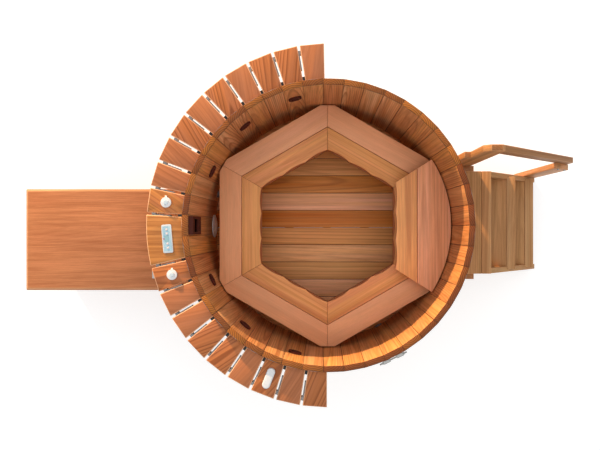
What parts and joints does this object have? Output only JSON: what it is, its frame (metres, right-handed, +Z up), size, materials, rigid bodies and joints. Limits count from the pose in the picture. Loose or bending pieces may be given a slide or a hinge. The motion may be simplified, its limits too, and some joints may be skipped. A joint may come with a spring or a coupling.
{
  "type": "wooden hot tub",
  "caption": "Round cedar stave hot tub with hexagonal bench, raised seat, jets, skimmer, rear control shelf, equipment box under a hinged lid, and steps with a handrail.",
  "frame": {"origin": "on the ground under the centre of the round tub, at the underside of the middle joist", "axes": "+Z up along the tub's axis, +X towards the steps, -X towards the skimmer and the equipment box"},
  "size_m": [3.751, 2.3049, 1.575],
  "materials": {
    "cedar_shell": "oiled cedar staves with darker joints",
    "cedar_board": "smooth planed cedar with lengthwise grain",
    "cedar_frame": "plain cedar framing",
    "step_cedar": "weathered cedar boards",
    "galvanised_steel": "dull galvanised",
    "black_steel": "black paint, satin",
    "dark_plastic": "moulded, satin",
    "white_plastic": "moulded, soft gloss",
    "grey_plastic": "moulded, matte",
    "panel_blue": "moulded keypad, soft gloss",
    "display": "clear window over a dark display",
    "light_lens": "moulded lens, satin",
    "brass_valve": "cast, satin",
    "red_handle": "red dipped steel",
    "filter_paper": "pleated filter cloth",
    "pipe_white": "plain pressure pipe",
    "cabinet_grey": "powder coated"
  },
  "bodies": {
    "tub": {"staves": "cedar_shell", "fitted_staves": "cedar_shell", "tub_floor": "cedar_board", "floor_joists": "cedar_frame", "hoops": "galvanised_steel", "hoop_lugs": "galvanised_steel", "bench_outer_planks": "cedar_board", "bench_inner_planks": "cedar_board", "bench_apron": "cedar_frame", "bench_supports": "cedar_frame", "raised_seat": "cedar_board", "jet_bodies": "dark_plastic", "skimmer_housing": "dark_plastic", "skimmer_faceplate": "dark_plastic", "suction_cover": "white_plastic", "wall_unions": "grey_plastic", "pool_light": "light_lens", "drain_valve": "brass_valve", "shelf_slats": "cedar_board", "control_board": "cedar_board", "shelf_ring": "galvanised_steel", "shelf_ledger": "black_steel", "shelf_brackets": "black_steel", "control_bodies": "grey_plastic", "air_lines": "grey_plastic", "panel_housing": "panel_blue", "panel_window": "display", "box_frame": "cedar_frame", "box_walls": "cedar_board", "box_top_strip": "cedar_board", "pump_body": "black_steel", "filter_body": "grey_plastic", "filter_cartridge": "filter_paper", "heater_pack": "cabinet_grey", "pipework": "pipe_white", "step_stringers": "step_cedar", "step_treads": "step_cedar", "step_posts": "step_cedar", "handrail": "step_cedar", "hardware": "galvanised_steel"},
    "lid": {"box_lid": "cedar_board", "lid_hinge_leaves": "galvanised_steel"},
    "air_knob_upper": {"air_knob_upper": "white_plastic"},
    "air_knob_lower": {"air_knob_lower": "white_plastic"},
    "touch_pad": {"touch_pad": "white_plastic"},
    "skimmer_weir": {"skimmer_weir": "dark_plastic"},
    "skimmer_basket": {"skimmer_basket": "white_plastic"},
    "pump_impeller": {"pump_impeller": "grey_plastic"},
    "filter_lock_ring": {"filter_lock_ring": "dark_plastic"},
    "drain_handle": {"drain_handle": "red_handle"},
    "panel_key_1": {"panel_key_1": "white_plastic"},
    "panel_key_2": {"panel_key_2": "white_plastic"},
    "panel_key_3": {"panel_key_3": "white_plastic"},
    "panel_key_4": {"panel_key_4": "white_plastic"},
    "jet_nozzle_1": {"jet_nozzle_1": "dark_plastic"},
    "jet_nozzle_2": {"jet_nozzle_2": "dark_plastic"},
    "jet_nozzle_3": {"jet_nozzle_3": "dark_plastic"},
    "jet_nozzle_4": {"jet_nozzle_4": "dark_plastic"},
    "jet_nozzle_5": {"jet_nozzle_5": "dark_plastic"},
    "jet_nozzle_6": {"jet_nozzle_6": "dark_plastic"}
  },
  "joints": [
    {"name": "lid_hinge", "type": "hinge", "parent": "tub", "child": "lid", "pos_m": [-1.175, -0.097, 0.768], "axis": [0, 1, 0], "range_deg": [0, 85]},
    {"name": "upper_air_turn", "type": "hinge", "parent": "tub", "child": "air_knob_upper", "pos_m": [-1.02478, 0.14512, 1.16], "axis": [0, 0, 1], "range_deg": [0, 150]},
    {"name": "lower_air_turn", "type": "hinge", "parent": "tub", "child": "air_knob_lower", "pos_m": [-0.9871, -0.31123, 1.16], "axis": [0, 0, 1], "range_deg": [0, 150]},
    {"name": "touch_pad_press", "type": "slide", "parent": "tub", "child": "touch_pad", "axis": [0, 0, -1], "range_m": [0, 0.003], "stiffness_N_per_m": 4000, "springref_m": -0.002},
    {"name": "weir_swing", "type": "hinge", "parent": "tub", "child": "skimmer_weir", "pos_m": [-0.891, 0, 0.9354], "axis": [0, -1, 0], "range_deg": [0, 80], "stiffness_Nm_per_rad": 0.06, "springref_deg": -11.46},
    {"name": "basket_lift", "type": "slide", "parent": "tub", "child": "skimmer_basket", "axis": [0, 0, 1], "range_m": [0, 0.12]},
    {"name": "impeller_spin", "type": "hinge", "parent": "tub", "child": "pump_impeller", "pos_m": [-1.25, -0.26, 0.235], "axis": [1, 0, 0], "continuous": true},
    {"name": "lock_ring_turn", "type": "hinge", "parent": "tub", "child": "filter_lock_ring", "pos_m": [-1.25, 0.1, 0.5], "axis": [0, 0, 1], "range_deg": [0, 45]},
    {"name": "drain_turn", "type": "hinge", "parent": "tub", "child": "drain_handle", "pos_m": [0.44993, -0.87511, 0.165], "axis": [0, 0, 1], "range_deg": [0, 90]},
    {"name": "key_1_press", "type": "slide", "parent": "tub", "child": "panel_key_1", "axis": [0, 0, -1], "range_m": [0, 0.0015], "stiffness_N_per_m": 500, "springref_m": -0.001},
    {"name": "key_2_press", "type": "slide", "parent": "tub", "child": "panel_key_2", "axis": [0, 0, -1], "range_m": [0, 0.0015], "stiffness_N_per_m": 500, "springref_m": -0.001},
    {"name": "key_3_press", "type": "slide", "parent": "tub", "child": "panel_key_3", "axis": [0, 0, -1], "range_m": [0, 0.0015], "stiffness_N_per_m": 500, "springref_m": -0.001},
    {"name": "key_4_press", "type": "slide", "parent": "tub", "child": "panel_key_4", "axis": [0, 0, -1], "range_m": [0, 0.0015], "stiffness_N_per_m": 500, "springref_m": -0.001},
    {"name": "jet_1_turn", "type": "hinge", "parent": "tub", "child": "jet_nozzle_1", "pos_m": [-0.78321, -0.36716, 0.819], "axis": [-0.9054, -0.4245, 0], "range_deg": [0, 90]},
    {"name": "jet_2_turn", "type": "hinge", "parent": "tub", "child": "jet_nozzle_2", "pos_m": [-0.55332, -0.66488, 0.886], "axis": [-0.6397, -0.7686, 0], "range_deg": [0, 90]},
    {"name": "jet_3_turn", "type": "hinge", "parent": "tub", "child": "jet_nozzle_3", "pos_m": [-0.21879, -0.83687, 0.939], "axis": [-0.2529, -0.9675, 0], "range_deg": [0, 90]},
    {"name": "jet_4_turn", "type": "hinge", "parent": "tub", "child": "jet_nozzle_4", "pos_m": [-0.78321, 0.36716, 0.819], "axis": [-0.9054, 0.4245, 0], "range_deg": [0, 90]},
    {"name": "jet_5_turn", "type": "hinge", "parent": "tub", "child": "jet_nozzle_5", "pos_m": [-0.55332, 0.66488, 0.886], "axis": [-0.6397, 0.7686, 0], "range_deg": [0, 90]},
    {"name": "jet_6_turn", "type": "hinge", "parent": "tub", "child": "jet_nozzle_6", "pos_m": [-0.21879, 0.83687, 0.939], "axis": [-0.2529, 0.9675, 0], "range_deg": [0, 90]}
  ]
}
